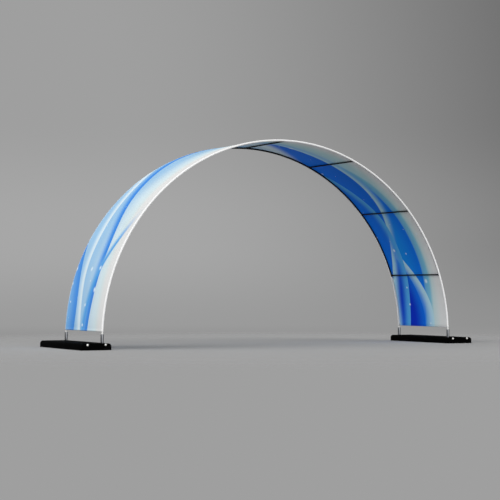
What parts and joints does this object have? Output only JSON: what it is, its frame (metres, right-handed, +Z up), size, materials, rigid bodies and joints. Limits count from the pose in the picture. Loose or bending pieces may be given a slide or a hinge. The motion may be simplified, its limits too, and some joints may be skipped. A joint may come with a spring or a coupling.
{
  "type": "fabric event arch with tube frame",
  "caption": "Half-round walk-through event arch: a printed stretch cloth sleeve over white tube hoops with dark cross bars, standing in bright sockets on black ballast bases.",
  "frame": {"origin": "on the floor, midway between the two bases and midway between the two hoops", "axes": "+X across the walkway towards the right base, +Y through the walkway from the front hoop to the rear hoop, +Z up"},
  "size_m": [6.736, 1.7086, 3.1456],
  "materials": {
    "printed_cloth": "matt printed stretch knit",
    "closing_tape": "black woven tape",
    "white_tube": "satin white powder coat",
    "dark_bar": "satin black powder coat",
    "bright_metal": "polished plating",
    "black_base": "fine-grained black"
  },
  "bodies": {
    "root": {"cloth_cover": "printed_cloth", "closing_tape_front_1": "closing_tape", "closing_tape_front_2": "closing_tape", "closing_tape_front_3": "closing_tape", "closing_tape_front_4": "closing_tape", "closing_tape_front_5": "closing_tape", "closing_tape_front_6": "closing_tape", "closing_tape_front_7": "closing_tape", "closing_tape_front_8": "closing_tape", "closing_tape_rear_1": "closing_tape", "closing_tape_rear_2": "closing_tape", "closing_tape_rear_3": "closing_tape", "closing_tape_rear_4": "closing_tape", "closing_tape_rear_5": "closing_tape", "closing_tape_rear_6": "closing_tape", "closing_tape_rear_7": "closing_tape", "closing_tape_rear_8": "closing_tape", "hoop_front_left": "white_tube", "hoop_front_right": "white_tube", "hoop_rear_left": "white_tube", "hoop_rear_right": "white_tube", "cross_bar_1": "dark_bar", "cross_bar_2": "dark_bar", "cross_bar_3": "dark_bar", "cross_bar_4": "dark_bar", "cross_bar_5": "dark_bar", "cross_bar_6": "dark_bar", "cross_bar_7": "dark_bar", "socket_post_front_left": "bright_metal", "socket_post_front_right": "bright_metal", "socket_post_rear_left": "bright_metal", "socket_post_rear_right": "bright_metal", "base_left": "black_base", "base_right": "black_base", "base_bolt_left_front_1": "bright_metal", "base_bolt_left_front_2": "bright_metal", "base_bolt_left_rear_1": "bright_metal", "base_bolt_left_rear_2": "bright_metal", "base_bolt_right_front_1": "bright_metal", "base_bolt_right_front_2": "bright_metal", "base_bolt_right_rear_1": "bright_metal", "base_bolt_right_rear_2": "bright_metal"}
  },
  "joints": []
}
